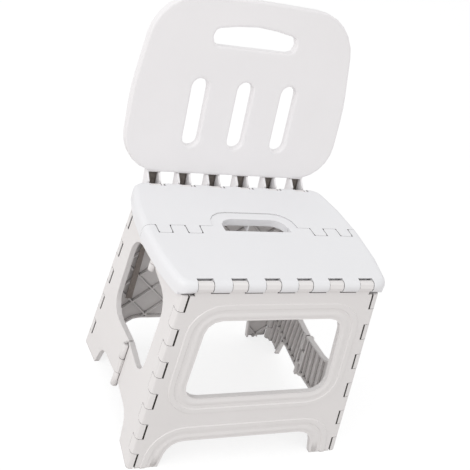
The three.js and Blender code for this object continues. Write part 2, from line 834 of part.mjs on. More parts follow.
function handleShape(margin) {
  return rounded(
    symmetric([
      [handle.half + margin, boardBase + handle.low - margin, handle.radius + margin],
      [handle.half + margin, boardBase + handle.endHigh + margin, handle.radius + margin],
      [0, boardBase + handle.high + margin, handle.crownRadius],
    ]),
  );
}

const slotPlaces = Array.from({ length: slotCount }, (_, i) => (i - (slotCount - 1) / 2) * slot.pitch);

function board() {
  const shape = new THREE.Shape(boardShape(0));
  for (const x of slotPlaces) shape.holes.push(new THREE.Path(slotShape(x, 0)));
  shape.holes.push(new THREE.Path(handleShape(0)));
  const geometry = new THREE.ExtrudeGeometry(shape, {
    depth: boardThickness - boardEdge,
    bevelThickness: boardEdge,
    bevelSize: boardEdge,
    bevelOffset: -boardEdge,
    bevelSegments: 2,
  });
  const back = -boardSetback - boardThickness;
  const reach = boardBottom.half + overrun;
  const top = boardBase + boardCrown.up;
  const deep = back - overrun;
  const slab = solid(geometry.translate(0, 0, back)).subtract(box(-reach, reach, 0, 2 * top, deep, back));
  let cells = plate(boardShape(boardRim), deep, -boardSetback - boardSkin);
  for (const x of slotPlaces) cells = cells.subtract(plate(slotShape(x, boardRim), deep - overrun, 0));
  cells = cells.subtract(plate(handleShape(boardRim), deep - overrun, 0));
  const middle = new THREE.Vector2(0, top / 2);
  cells = cells
    .subtract(ribs(boardRibPitch, seatRib, 2 * reach, 0, deep - overrun, 0, middle))
    .subtract(ribs(boardRibPitch, seatRib, 2 * reach, Math.PI / 2, deep - overrun, 0, middle));
  return slab.subtract(cells);
}

// Arms: channels open to the front, whose flanges hang beside the rear leg's clips and end in rings on the
// rod. A heel at the foot of each web stops the backrest against the leg.
function arms() {
  const boardFoot = boardBase + boardBottom.depth;
  const webBack = boardSetback + boardThickness;
  const flange = [
    [0, -clipRadius],
    [-armHeel, -clipRadius],
    [-armHeel, -armHeelDepth],
    [-armHeel - armWeb, -armHeelDepth],
    [-webBack, -armHeelDepth / 2],
    [-webBack, boardFoot + armLap],
    [-boardSetback - armRecess, boardFoot + armLap],
    [-boardSetback - armRecess, boardFoot],
    [-armFront, clipRadius],
    [-armFront, 0],
    [0, 0],
  ].map(([z, y]) => new THREE.Vector2(y, z));
  const hollow = [
    [clipRadius + overrun, -armHeelDepth - overrun],
    [-armHeel - armWeb, -armHeelDepth - overrun],
    [-armHeel - armWeb, -armHeelDepth + armWeb],
    [armWeb - webBack, armWeb - armHeelDepth / 2],
    [armWeb - webBack, boardFoot],
    [clipRadius + overrun, boardFoot],
  ].map(([z, y]) => new THREE.Vector2(y, z));
  const made = clipPlaces.map((x) => {
    const ring = rodAlongX(clipRadius, x - clipWidth / 2, x + clipWidth / 2, barrelSides);
    const inner = clipWidth / 2 - armFlange;
    return barAlongX(flange, x - clipWidth / 2, x + clipWidth / 2)
      .add(ring)
      .subtract(barAlongX(hollow, x - inner, x + inner));
  });
  return joined(made);
}

function backrest() {
  return board()
    .add(arms())
    .subtract(rodAlongX(rodRadius + pinGap, -sideSpan, sideSpan, boreSides));
}

// Assembly

const stool = new THREE.Group();

function piece(name, body, material, parent) {
  const geometry = geometryOf(body).toNonIndexed();
  geometry.computeVertexNormals();
  const mesh = new THREE.Mesh(geometry, material);
  mesh.name = name;
  parent.add(mesh);
}

function groupAt(matrix) {
  const group = new THREE.Group();
  matrix.decompose(group.position, group.quaternion, group.scale);
  stool.add(group);
  return group;
}

const halfTurn = new THREE.Matrix4().makeRotationZ(Math.PI);
const rearLegFrame = halfTurn.clone().multiply(legFrame);
const frontLegGroup = groupAt(legFrame);
const rearLegGroup = groupAt(rearLegFrame);
const frontPanel = legPanel(frontArch, true, clipWidth, frontLatticePitch);
const rearPanel = legPanel(rearArch, false, narrowClipWidth, rearLatticePitch);
piece('front_leg_panel', frontPanel, panelPlastic(), frontLegGroup);
piece('rear_leg_panel', rearPanel, panelPlastic(), rearLegGroup);
const hingeRod = () => rodAlongX(rodRadius, -rodHalfLength, rodHalfLength, boreSides);
piece('front_seat_rod', hingeRod(), steel(), frontLegGroup);
piece('rear_seat_rod', hingeRod(), steel(), rearLegGroup);

// A corner's frame and its pieces, mirrored from the front left one. A mirrored frame keeps its z axis
// right-handed, so the pieces in it are turned over.
const toCorner = {
  left_front: [1, 1],
  right_front: [-1, 1],
  left_rear: [1, -1],
  right_rear: [-1, -1],
};
const turnedOver = new THREE.Matrix4().makeScale(1, 1, -1);
const plain = new THREE.Matrix4();
for (const [name, [flipX, flipY]] of Object.entries(toCorner)) {
  const isFront = flipY === 1;
  const flipped = flipX * flipY < 0;
  const mirror = new THREE.Matrix4().makeScale(flipX, flipY, 1);
  const across = panelAcross.clone().applyMatrix4(mirror);
  const up = cornerUp.clone().applyMatrix4(mirror);
  const group = groupAt(frameOf(across, up, cornerPoint.clone().applyMatrix4(mirror)));
  const over = flipped ? turnedOver : plain;
  piece(name + '_side_panel', moved(sidePanel(isFront), over), panelPlastic(), group);
  const rod = rodAlongY(
    cornerRodRadius,
    upCorner(seatHeight - cornerRodEnd),
    upCorner(sideTopDepth + rodEndGap),
    boreSides,
  );
  piece(name + '_corner_rod', rod, steel(), group);
  if (!isFront) continue;
  const side = flipX === 1 ? 'left' : 'right';
  for (const [level, hinge] of [['upper', upperHinge], ['lower', lowerHinge]]) {
    const low = upMiddle(hinge.top + 3 * hinge.knuckle - middlePinEnd);
    const high = upMiddle(hinge.top + middlePinEnd);
    const pin = rodAlongY(middlePinRadius, low, high, boreSides);
    const place = over.clone().multiply(middleInSide);
    piece(side + '_' + level + '_middle_pin', moved(pin, place), steel(), group);
  }
}

const seatGroup = groupAt(new THREE.Matrix4().makeTranslation(0, 0, seatHeight));
piece('seat_front_half', seatHalf(true), seatPlastic(), seatGroup);
piece('seat_rear_half', seatHalf(false), seatPlastic(), seatGroup);
for (const [side, sign] of [['left', -1], ['right', 1]]) {
  const [inner, outer] = [centreKnuckleInner + centrePinInset, centreKnuckleOuter - centrePinInset];
  const ends = [sign * inner, sign * outer];
  const pin = rodAlongX(centrePinRadius, Math.min(...ends), Math.max(...ends), boreSides);
  const place = new THREE.Matrix4().makeTranslation(0, 0, -centreDrop);
  piece('centre_pin_' + side, moved(pin, place), steel(), seatGroup);
}

const recline = degToRad(reclineDegrees);
const boardUp = new THREE.Vector3(0, Math.sin(recline), Math.cos(recline));
piece('backrest', backrest(), seatPlastic(), groupAt(frameOf(alongX, boardUp, rearRod)));

// The origin lies on the floor under the middle of the whole chair's box.
const bounds = new THREE.Box3().setFromObject(stool, true);
const shift = -(bounds.min.y + bounds.max.y) / 2;
stool.position.y = shift;
const chair = new THREE.Group();
chair.add(stool);
console.log('shift along y', shift.toFixed(4), 'box', bounds.min.toArray(), bounds.max.toArray());

export default chair;
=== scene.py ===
# %% [markdown]
# # A folding step stool with a backrest
# This lesson dresses a moulded plastic step stool for a studio picture. The stool's frame comes from its
# CAD model: legs, folding sides, a seat that breaks in the middle and a backrest. Blender adds what CAD
# leaves out: the softened edges that every moulding has, the plastic's grain, painted shade in its hollows
# and a soft bead round the openings of the front leg. Everything is in metres, on the CAD model's own axes:
# x runs across the stool, y from front to back and z up.

import math

import bmesh
import bpy
import numpy as np
from mathutils import Matrix, Vector


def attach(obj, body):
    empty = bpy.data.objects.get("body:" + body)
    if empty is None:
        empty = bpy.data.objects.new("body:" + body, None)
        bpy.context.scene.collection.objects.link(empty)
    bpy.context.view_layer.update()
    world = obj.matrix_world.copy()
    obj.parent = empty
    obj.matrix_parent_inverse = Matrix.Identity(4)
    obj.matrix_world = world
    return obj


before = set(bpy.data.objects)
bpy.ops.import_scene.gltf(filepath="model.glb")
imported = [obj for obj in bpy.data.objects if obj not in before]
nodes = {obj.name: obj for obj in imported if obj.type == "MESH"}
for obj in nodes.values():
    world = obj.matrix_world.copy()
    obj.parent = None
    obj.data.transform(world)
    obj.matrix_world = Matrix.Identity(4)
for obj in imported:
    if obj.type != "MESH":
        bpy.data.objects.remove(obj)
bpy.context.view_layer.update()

MM = 0.001

# %% [markdown]
# ## The camera
# The picture was taken from the sitter's right, looking down by about thirty degrees, with the camera
# rolled so that the stool seems to lean. One could turn a camera by eye until it fits. Here the place,
# the roll and the lens were found by matching the corners of the seat, the windows and the feet to the
# model, because that also settles how strong the perspective is.

# %% Camera
CAMERA_PLACE = Vector((-0.5460, -0.9534, 0.9279))
CAMERA_TURN = math.radians(28.834)
CAMERA_DOWN = math.radians(30.562)
CAMERA_ROLL = math.radians(16.85)
CAMERA_LENS = 68.29
SENSOR_WIDTH = 36

looking = Vector(
    (
        math.sin(CAMERA_TURN) * math.cos(CAMERA_DOWN),
        math.cos(CAMERA_TURN) * math.cos(CAMERA_DOWN),
        -math.sin(CAMERA_DOWN),
    )
)
camera_data = bpy.data.cameras.new("camera")
camera_data.lens = CAMERA_LENS
camera_data.sensor_width = SENSOR_WIDTH
camera = bpy.data.objects.new("camera", camera_data)
bpy.context.scene.collection.objects.link(camera)
level = looking.to_track_quat("-Z", "Y").to_matrix().to_4x4()
camera.matrix_world = (
    Matrix.Translation(CAMERA_PLACE) @ level @ Matrix.Rotation(CAMERA_ROLL, 4, "Z")
)
bpy.context.scene.camera = camera
print("camera looks along", [round(v, 3) for v in looking])

# %% [markdown]
# ## Colours and nodes
# Colours are written as on a screen, in hex, and one function turns them to the linear light that a
# shader works in. A second one adds a node, sets its values and links its sockets. A Mix node for colours
# has several sockets of the same name, so three numbers tell them apart.


# %% Helpers for materials
def linear(hex_colour):
    """An sRGB hex colour as linear RGBA: c/12.92 when dark, else ((c + 0.055)/1.055) to the power 2.4."""
    parts = np.array([int(hex_colour[i : i + 2], 16) for i in (1, 3, 5)]) / 255
    bright = ((parts + 0.055) / 1.055) ** 2.4
    return (*np.where(parts <= 0.04045, parts / 12.92, bright).tolist(), 1.0)


def add_node(tree, kind, inputs=None, **settings):
    """A node of a kind, with its settings, its input values, or links where an input is a socket."""
    node = tree.nodes.new(kind)
    for name, value in settings.items():
        setattr(node, name, value)
    for name, value in (inputs or {}).items():
        if isinstance(value, bpy.types.NodeSocket):
            tree.links.new(value, node.inputs[name])
        else:
            node.inputs[name].default_value = value
    return node


def new_material(name):
    """A node material that is empty but for its output: the material, its tree and that output node."""
    material = bpy.data.materials.new(name)
    material.use_nodes = True
    tree = material.node_tree
    tree.nodes.clear()
    return material, tree, tree.nodes.new("ShaderNodeOutputMaterial")


MIX_A, MIX_B, MIXED = 6, 7, 2
print("white as linear light:", linear("#FFFFFF"))

# %% [markdown]
# ## Moulded polypropylene
# The stool is injection-moulded polypropylene, a waxy plastic with an index of about 1.49. Its mould was
# spark-eroded, so the skin has a fine pebble grain that spreads the highlights. The colour is masterbatch
# stirred into the melt, so it drifts very slightly along the flow. Two noises do that here: one of nearly
# a millimetre for the grain, drawn coarser than the real grit of a tenth so that it shows, and one of
# several centimetres for the flow.
#
# Where two mouldings nearly touch, the gap between them is dark. Painted lines could show that, but they
# would stay behind when the stool folds. An Ambient Occlusion node measures instead how open each spot is
# within four millimetres, and the colour goes to a warm dark grey where it is mostly shut in: painted shade
# in gaps and inner corners.

# %% Sizes of the plastic's grain, flow and gaps
POLYPROPYLENE_IOR = 1.49
GRAIN = 0.9 * MM
GRAIN_STRENGTH = 0.35
GRAIN_LOW, GRAIN_HIGH = 0.3, 0.7
SMOOTHER, ROUGHER = 0.04, 0.06
FLOW = 90 * MM
CREVICE = 4 * MM
CREVICE_PAINTED_SHADE = "#57504C"
CREVICE_SAMPLES = 6
CREVICE_SHUT, CREVICE_OPEN = 0.25, 0.75
print("grain", GRAIN, "m, flow", FLOW, "m, crevices up to", CREVICE, "m")


# %% Moulded plastic
def moulded_plastic(name, colour, shade, roughness, grain_depth):
    """Polypropylene: a colour that drifts to a second one, with painted shade in gaps and a grain as bump.
    """
    material, tree, output = new_material(name)
    place = add_node(tree, "ShaderNodeTexCoord").outputs["Object"]
    flow = add_node(
        tree,
        "ShaderNodeTexNoise",
        {"Vector": place, "Scale": 1 / FLOW, "Detail": 2.0, "Roughness": 0.5},
    )
    tint = add_node(
        tree,
        "ShaderNodeMix",
        {"Factor": flow.outputs["Fac"], MIX_A: linear(colour), MIX_B: linear(shade)},
        data_type="RGBA",
    )
    # Painted shade: the colour goes to a warm dark grey where the occlusion node finds a spot shut in.
    crevice = add_node(
        tree,
        "ShaderNodeAmbientOcclusion",
        {"Distance": CREVICE},
        samples=CREVICE_SAMPLES,
        only_local=False,
    )
    open_air = add_node(
        tree,
        "ShaderNodeMapRange",
        {"Value": crevice.outputs["AO"], "From Min": CREVICE_SHUT, "From Max": CREVICE_OPEN},
    )
    shown_with_painted_shade = add_node(
        tree,
        "ShaderNodeMix",
        {
            "Factor": open_air.outputs["Result"],
            MIX_A: linear(CREVICE_PAINTED_SHADE),
            MIX_B: tint.outputs[MIXED],
        },
        data_type="RGBA",
    )
    grain = add_node(
        tree,
        "ShaderNodeTexNoise",
        {"Vector": place, "Scale": 1 / GRAIN, "Detail": 3.0, "Roughness": 0.6},
    )
    bump = add_node(
        tree,
        "ShaderNodeBump",
        {"Height": grain.outputs["Fac"], "Strength": GRAIN_STRENGTH, "Distance": grain_depth},
    )
    rough = add_node(
        tree,
        "ShaderNodeMapRange",
        {
            "Value": grain.outputs["Fac"],
            "From Min": GRAIN_LOW,
            "From Max": GRAIN_HIGH,
            "To Min": roughness - SMOOTHER,
            "To Max": roughness + ROUGHER,
        },
    )
    plastic = add_node(
        tree,
        "ShaderNodeBsdfPrincipled",
        {
            "Base Color": shown_with_painted_shade.outputs[MIXED],
            "Roughness": rough.outputs["Result"],
            "Normal": bump.outputs["Normal"],
            "IOR": POLYPROPYLENE_IOR,
        },
    )
    tree.links.new(plastic.outputs["BSDF"], output.inputs["Surface"])
    return material


# %% The three whites
seat_plastic = moulded_plastic(
    "moulded_polypropylene_cool_white", "#F1F1F3", "#EDEDEF", 0.44, 0.05 * MM
)
back_plastic = moulded_plastic(
    "moulded_polypropylene_white", "#F7F5F6", "#F2F0F1", 0.40, 0.04 * MM
)
panel_plastic = moulded_plastic(
    "moulded_polypropylene_warm_white", "#EFECEB", "#EAE7E6", 0.46, 0.04 * MM
)
print("plastics:", seat_plastic.name, back_plastic.name, panel_plastic.name)

# %% [markdown]
# ## Plated steel rods
# The hinge rods are drawn steel wire with a thin zinc coat. They hide in their bores, and only their ends
# and short lengths between the knuckles can be glimpsed. Such wire is never evenly bright, so a noise of
# half a millimetre changes its roughness. The real scratches are finer and wouldn't show at all.

# %% Plated steel
SCRATCH = 0.6 * MM
STEEL_BRIGHT, STEEL_DULL = 0.28, 0.46


def plated_steel(name):
    """Zinc-plated wire: a metal whose roughness changes over a few tenths of a millimetre."""
    material, tree, output = new_material(name)
    place = add_node(tree, "ShaderNodeTexCoord").outputs["Object"]
    scratches = add_node(
        tree,
        "ShaderNodeTexNoise",
        {"Vector": place, "Scale": 1 / SCRATCH, "Detail": 2.0, "Roughness": 0.5},
    )
    rough = add_node(
        tree,
        "ShaderNodeMapRange",
        {"Value": scratches.outputs["Fac"], "To Min": STEEL_BRIGHT, "To Max": STEEL_DULL},
    )
    steel = add_node(
        tree,
        "ShaderNodeBsdfPrincipled",
        {
            "Base Color": linear("#BFC2C6"),
            "Metallic": 1.0,
            "Roughness": rough.outputs["Result"],
        },
    )
    tree.links.new(steel.outputs["BSDF"], output.inputs["Surface"])
    return material


rod_steel = plated_steel("zinc_plated_drawn_steel")
print("metal:", rod_steel.name)

# %% [markdown]
# ## Which piece is made of what
# The seat and the backrest come from cool whites, the legs and sides from a slightly warmer one. No metal
# shows at the hinges in the middle of the sides, so their pins are white like the sides. Every CAD piece
# gets its finish by its name, which is shorter than a list and takes in both sides at once.


# %% Give each piece its finish
def finish_of(name):
    """The finish that goes with a piece's name."""
    if name == "backrest":
        return back_plastic
    if name.startswith("seat"):
        return seat_plastic
    if "middle_pin" not in name and ("rod" in name or "pin" in name):
        return rod_steel
    return panel_plastic


for name, node in nodes.items():
    node.data.materials.clear()
    node.data.materials.append(finish_of(name))
print(len(nodes), "pieces have a finish")

# %% [markdown]
# ## Softened edges
# No edge of a moulding is sharp: the mould's own corners are rounded by a few tenths of a millimetre, and
# a little more where hands touch. The light that runs along those edges is what makes the knuckles and
# lines readable. Rounding them in CAD would take many thousands of faces, so modifiers do it. The CAD
# meshes are loose triangles with sharp edges. A small node tree welds them and shades them smooth, the
# flat faces are joined up, a bevel rounds each edge that turns by more than thirty-two degrees, and
# weighted normals keep the flat faces flat.

# %% A node tree that welds and smooths
WELD = 0.004 * MM


def weld_and_smooth():
    """Geometry nodes: drop the stored normals, merge by distance, and shade smooth."""
    tree = bpy.data.node_groups.new("weld_and_smooth", "GeometryNodeTree")
    tree.interface.new_socket("Geometry", in_out="INPUT", socket_type="NodeSocketGeometry")
    tree.interface.new_socket("Geometry", in_out="OUTPUT", socket_type="NodeSocketGeometry")
    source = tree.nodes.new("NodeGroupInput")
    drop = add_node(
        tree,
        "GeometryNodeRemoveAttribute",
        {"Geometry": source.outputs[0], "Name": "custom_normal"},
    )
    weld = add_node(
        tree,
        "GeometryNodeMergeByDistance",
        {"Geometry": drop.outputs["Geometry"], "Distance": WELD},
    )
    smooth = add_node(
        tree,
        "GeometryNodeSetShadeSmooth",
        {"Geometry": weld.outputs["Geometry"], "Shade Smooth": True},
    )
    target = tree.nodes.new("NodeGroupOutput")
    tree.links.new(smooth.outputs["Geometry"], target.inputs[0])
    return tree


welding = weld_and_smooth()
print("welds points closer than", WELD, "m")

# %% Round the edges of the plastic pieces
FLAT_WITHIN = math.radians(0.5)
SHARP_TURN = math.radians(32)
EDGE_ROUND = 0.55 * MM
EDGE_STEPS = 2
FLAT_WEIGHT = 90

moulded = [node for name, node in nodes.items() if "rod" not in name and "pin" not in name]
for node in moulded:
    weld = node.modifiers.new("weld", "NODES")
    weld.node_group = welding
    flat = node.modifiers.new("flat_faces", "DECIMATE")
    flat.decimate_type = "DISSOLVE"
    flat.angle_limit = FLAT_WITHIN
    soft = node.modifiers.new("softened_edges", "BEVEL")
    soft.width = EDGE_ROUND
    soft.segments = EDGE_STEPS
    soft.limit_method = "ANGLE"
    soft.angle_limit = SHARP_TURN
    soft.use_clamp_overlap = True
    even = node.modifiers.new("flat_faces_stay_flat", "WEIGHTED_NORMAL")
    even.mode = "FACE_AREA"
    even.weight = FLAT_WEIGHT
    even.keep_sharp = True
print(len(moulded), "mouldings have softened edges")

# %% [markdown]
# ## Hollows that stay dark
# Beside every knuckle of the corners runs a slot into the hollow post, and each arm of the backrest is a
# channel with a deep web. Little light comes out of such hollows, so on the real stool they are the only
# dark marks. CAD keeps them shallow. Deepening them there would thin the walls, so a thin lining of painted
# shade on their floors stands for the depth. A lining is a sheet: a short profile carried along a path as a
# grid of points, which a Solidify modifier gives its thickness.


# %% Painted shade for a hollow
BLOTCH = 4 * MM
BLOTCH_SHARE = 0.6
HOLLOW_ROUGHNESS = 0.85


def painted_hollow_shade(name, colour):
    """Painted shade for the inside of a moulding: nearly no gloss, and darker blotches of a few
    millimetres.
    """
    material, tree, output = new_material(name)
    place = add_node(tree, "ShaderNodeTexCoord").outputs["Object"]
    blotch_noise = add_node(
        tree, "ShaderNodeTexNoise", {"Vector": place, "Scale": 1 / BLOTCH, "Detail": 3.0}
    )
    darker = (*(BLOTCH_SHARE * part for part in linear(colour)[:3]), 1.0)
    shade = add_node(
        tree,
        "ShaderNodeMix",
        {"Factor": blotch_noise.outputs["Fac"], MIX_A: linear(colour), MIX_B: darker},
        data_type="RGBA",
    )
    matt = add_node(
        tree,
        "ShaderNodeBsdfPrincipled",
        {"Base Color": shade.outputs[MIXED], "Roughness": HOLLOW_ROUGHNESS},
    )
    tree.links.new(matt.outputs["BSDF"], output.inputs["Surface"])
    return material


# Painted shade: dark colours standing for the shade in the slots, the arm channels and the rear leg's step.
slot_shade = painted_hollow_shade("painted_shade_of_the_corner_posts", "#3B3632")
arm_shade = painted_hollow_shade("painted_shade_of_the_arm_channels", "#8F8781")
recess_shade = painted_hollow_shade("shade_of_the_edge_recess", "#B5ABA5")
print("hollows:", slot_shade.name, arm_shade.name, recess_shade.name)

# %% Sheets of points become a piece
SHEET_THICKNESS = 0.3 * MM
SEAM = 0.001 * MM
MIRROR = np.array([-1, 1, 1])


def carried_sheets(name, sheets, finish, body):
    """One mesh of several grids, their seams closed: (i, j) joins (i, j+1), (i+1, j+1) and (i+1, j)."""
    points, faces, first = [], [], 0
    for sheet in sheets:
        rows, columns = sheet.shape[:2]
        index = first + np.arange(rows * columns).reshape(rows, columns)
        corners = [index[:-1, :-1], index[:-1, 1:], index[1:, 1:], index[1:, :-1]]
        points.append(sheet.reshape(-1, 3))
        faces.append(np.stack(corners, axis=-1).reshape(-1, 4))
        first += rows * columns
    mesh = bpy.data.meshes.new(name)
    mesh.from_pydata(np.concatenate(points).tolist(), [], np.concatenate(faces).tolist())
    seams = bmesh.new()
    seams.from_mesh(mesh)
    bmesh.ops.remove_doubles(seams, verts=seams.verts, dist=SEAM)
    bmesh.ops.recalc_face_normals(seams, faces=seams.faces)
    seams.to_mesh(mesh)
    seams.free()
    mesh.shade_smooth()
    mesh.materials.append(finish)
    piece = bpy.data.objects.new(name, mesh)
    bpy.context.scene.collection.objects.link(piece)
    thick = piece.modifiers.new("sheet_thickness", "SOLIDIFY")
    thick.thickness = SHEET_THICKNESS
    thick.offset = 0
    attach(piece, body)
    print(name, "has", len(mesh.polygons), "faces")


def mirrored(sheets):
    """The same sheets on the other side of the stool: x becomes -x."""
    return [sheet * MIRROR for sheet in sheets]


# %% [markdown]
# ## Slots at the corners
# Down each corner the knuckles of a leg and of a side take turns, a band each. Between two knuckles of the
# leg lies one of the side, and beside it runs a slot. So the front leg has its slots in every second band,
# and the rear side panels have theirs in the bands between. Each lining is a strip of painted shade that
# follows the corner's lean, hollowed a little across, so that it catches no even shine.

# %% Where the corner posts stand
LEG_OUT = np.array([0.0, -0.99776, 0.06685])
LEG_ACROSS = np.array([0.99743, -0.00479, -0.07149])
SIDE_OUT = np.array([-0.99532, -0.06960, 0.06700])
SIDE_ACROSS = np.array([0.06480, -0.99534, -0.07135])
CORNER_UP = np.array([0.07165, 0.06668, 0.99520])
FRONT_CORNER = np.array([-137.113, -132.160, 287.0]) * MM
REAR_CORNER = np.array([-137.113, 87.318, 287.0]) * MM
FRONT_POST = (FRONT_CORNER, CORNER_UP, LEG_ACROSS, LEG_OUT)
REAR_POST = (REAR_CORNER, CORNER_UP * (1, -1, 1), SIDE_ACROSS, SIDE_OUT)
print("posts at", FRONT_CORNER.tolist(), "and", REAR_CORNER.tolist())

# %% Painted shade in the slots
BAND = 26.29 * MM
BAND_COUNT = 11
SLOT_BELOW_BAND = 1.4 * MM
SLOT_SHORTER = 2.4 * MM
POST_FOOT = -286 * MM
SLOT_HUMP = 0.25 * MM
SLOT_STEPS = 5
FRONT_SLOT = (1.1 * MM, 3.15 * MM, 7.9 * MM)
SIDE_SLOT = (5.8 * MM, 8.35 * MM, 7.4 * MM)


def slot_sheet(post, slot, low, high):
    """Point (u, v) = corner + up * (low..high) + across * (near..far) + out * (depth - a hump in v)."""
    corner, up, across, out = post
    near, far, depth = slot
    u = np.linspace(low, high, SLOT_STEPS)[:, None, None]
    v = np.linspace(0, 1, SLOT_STEPS)[None, :, None]
    hump = SLOT_HUMP * (1 - (2 * v - 1) ** 2)
    return corner + up * u + across * (near + (far - near) * v) + out * (depth - hump)


def slot_sheets(post, slot, first_band):
    """A strip in every second band down a post, from under the seat to just above the floor."""
    tops = -BAND * np.arange(first_band, BAND_COUNT, 2) - SLOT_BELOW_BAND
    feet = np.maximum(tops - BAND + SLOT_SHORTER, POST_FOOT)
    return [slot_sheet(post, slot, foot, top) for foot, top in zip(feet, tops)]


leg_slots = slot_sheets(FRONT_POST, FRONT_SLOT, 0)
side_slots = slot_sheets(REAR_POST, SIDE_SLOT, 1)
# Strips of painted shade on the floors of the corner slots.
carried_sheets(
    "front_corner_slot_painted_shade", leg_slots + mirrored(leg_slots), slot_shade, "front_leg"
)
carried_sheets("left_rear_slot_painted_shade", side_slots, slot_shade, "left_rear_side")
carried_sheets("right_rear_slot_painted_shade", mirrored(side_slots), slot_shade, "right_rear_side")
print(len(leg_slots) * 2 + len(side_slots) * 2, "slots lined")

# %% [markdown]
# ## Channels of the backrest's arms
# The six arms that carry the backrest are U-shaped, open to the front, and bend forward to the rear rod.
# Their inside is in shade from top to bottom. One path, from the board down to the rod, is carried across
# each channel as a sheet of painted shade.

# %% Painted shade in the channels
ROD_APART = 114.2 * MM
STANCE_SHIFT = 22.421 * MM
ROD_HEIGHT = 299.7 * MM
REAR_ROD = np.array([0.0, ROD_APART - STANCE_SHIFT, ROD_HEIGHT])
BOARD_UP = np.array([0.0, 0.13589, 0.99072])
BOARD_OUT = np.array([0.0, -0.99072, 0.13589])
ARM_PITCH = 47 * MM
ARM_COUNT = 6
CHANNEL_HALF = 7.3 * MM
CHANNEL_STEPS = 5
CHANNEL_PATH = (
    np.array([(18.5, -27.6), (8.0, -27.6), (-2.7, -27.6), (-6.2, -18.6), (-8.9, -9.7)]) * MM
)


def channel_sheet(place):
    """Point (i, j) = rod + board up and out * the path's i-th pair + x * (-half..half, plus the arm's)."""
    line = REAR_ROD + BOARD_UP * CHANNEL_PATH[:, :1] + BOARD_OUT * CHANNEL_PATH[:, 1:]
    across = np.linspace(-CHANNEL_HALF, CHANNEL_HALF, CHANNEL_STEPS) + place * ARM_PITCH
    return line[:, None, :] + across[None, :, None] * np.array([1.0, 0, 0])


arm_places = np.arange(ARM_COUNT) - (ARM_COUNT - 1) / 2
channels = [channel_sheet(place) for place in arm_places]
# Sheets of painted shade inside the six arm channels.
carried_sheets("arm_channel_painted_shade", channels, arm_shade, "backrest")

# %% [markdown]
# ## Barrels of the middle hinges
# Each side breaks in the middle, on two hinges with three knuckles each. The rear half's knuckles are hooks
# in CAD, open to the outside, so that the pin can leave them while the stool folds. On the real stool they
# read as closed barrels. A whole barrel would cut into the hook, so only a thin cover goes over each mouth:
# an arc about the pin's axis carried along it, with a ring at each end.

# %% Covers over the hooks
AXIS_TOP = np.array([-138.005, -22.421, 309.0]) * MM
AXIS_UP = np.array([0.06716, 0.0, 0.99774])
AXIS_OUT = np.array([-0.99774, 0.0, 0.06716])
AXIS_FRONT = np.array([0.0, -1.0, 0.0])
BARREL = 5.4 * MM
BARREL_EDGE = 0.5 * MM
PIN_ROOM = 2.0 * MM
HOOKS = np.array([(-279.2, -254.0), (-227.1, -201.9), (-68.8, -57.5), (-44.7, -33.5)]) * MM
MOUTH_FROM, MOUTH_TO, MOUTH_STEPS = math.radians(-19), math.radians(109), 17


def barrel_cover(low, high):
    """Point (h, t) = axis + up * height + radius * (front * cos t + out * sin t), t over the mouth."""
    height = np.array([low, low, low + BARREL_EDGE, high - BARREL_EDGE, high, high])[:, None, None]
    ring = [PIN_ROOM, BARREL - BARREL_EDGE, BARREL]
    radius = np.array(ring + ring[::-1])[:, None, None]
    turn = np.linspace(MOUTH_FROM, MOUTH_TO, MOUTH_STEPS)[None, :, None]
    return AXIS_TOP + AXIS_UP * height + radius * (AXIS_FRONT * np.cos(turn) + AXIS_OUT * np.sin(turn))


covers = [barrel_cover(low, high) for low, high in HOOKS]
carried_sheets("left_middle_barrel_covers", covers, panel_plastic, "left_rear_side")
carried_sheets("right_middle_barrel_covers", mirrored(covers), panel_plastic, "right_rear_side")
print(len(covers), "hooks covered on each side")

# %% [markdown]
# ## Beads round the window and the arch of the front leg
# Both openings of the front leg are framed twice: a raised band at some distance, which CAD has, and a soft
# bead next to the edge, where the mould was dished. A bevel can't give so wide and low a swelling. The bead
# is a hump of under a millimetre, carried along the opening's outline. Each column of its grid is the
# outline at its own distance from the edge.

# %% The leg's face and its openings
LEG_TILT = math.atan(0.067)
LEG_UP = np.array([0.0, math.sin(LEG_TILT), math.cos(LEG_TILT)])
FRONT_ROD = np.array([0.0, -ROD_APART - STANCE_SHIFT, ROD_HEIGHT])
FACE = 3.2 * MM
SEAT_OVER_ROD = 9.3 * MM
WINDOW_FOOT_HALF, WINDOW_HEAD_HALF = 110 * MM, 100 * MM
WINDOW_FOOT, WINDOW_HEAD = 190 * MM, 61.8 * MM
WINDOW_CORNER = 22 * MM
ARCH_FOOT_HALF, ARCH_HEAD_HALF = 121 * MM, 112 * MM
ARCH_FOOT, ARCH_HEAD = 306 * MM, 265 * MM
ARCH_CORNER = 27 * MM
ARC_STEPS = 12


def up_leg(depth):
    """How far up the leg's face, from its rod, a point lies that is so far below the seat's top."""
    return (SEAT_OVER_ROD - depth - FACE * math.sin(LEG_TILT)) / math.cos(LEG_TILT)


def unit(arrows):
    """Each arrow over its own length."""
    return arrows / np.linalg.norm(arrows, axis=-1, keepdims=True)


def filleted(corners, radius):
    """Each corner as an arc: centre + radius * (cos a, sin a), a swept from one side to the other."""
    back = unit(np.roll(corners, 1, axis=0) - corners)
    onward = unit(np.roll(corners, -1, axis=0) - corners)
    middle = unit(back + onward)
    half = np.arccos(np.sum(back * middle, axis=-1))[:, None]
    centre = corners + middle * radius / np.sin(half)
    first = corners + back * radius / np.tan(half) - centre
    last = corners + onward * radius / np.tan(half) - centre
    start = np.arctan2(first[:, 1], first[:, 0])[:, None]
    end = np.arctan2(last[:, 1], last[:, 0])[:, None]
    sweep = (end - start + math.pi) % (2 * math.pi) - math.pi
    a = start + sweep * np.linspace(0, 1, ARC_STEPS)
    arcs = centre[:, None, :] + radius * np.stack([np.cos(a), np.sin(a)], axis=-1)
    return arcs.reshape(-1, 2)


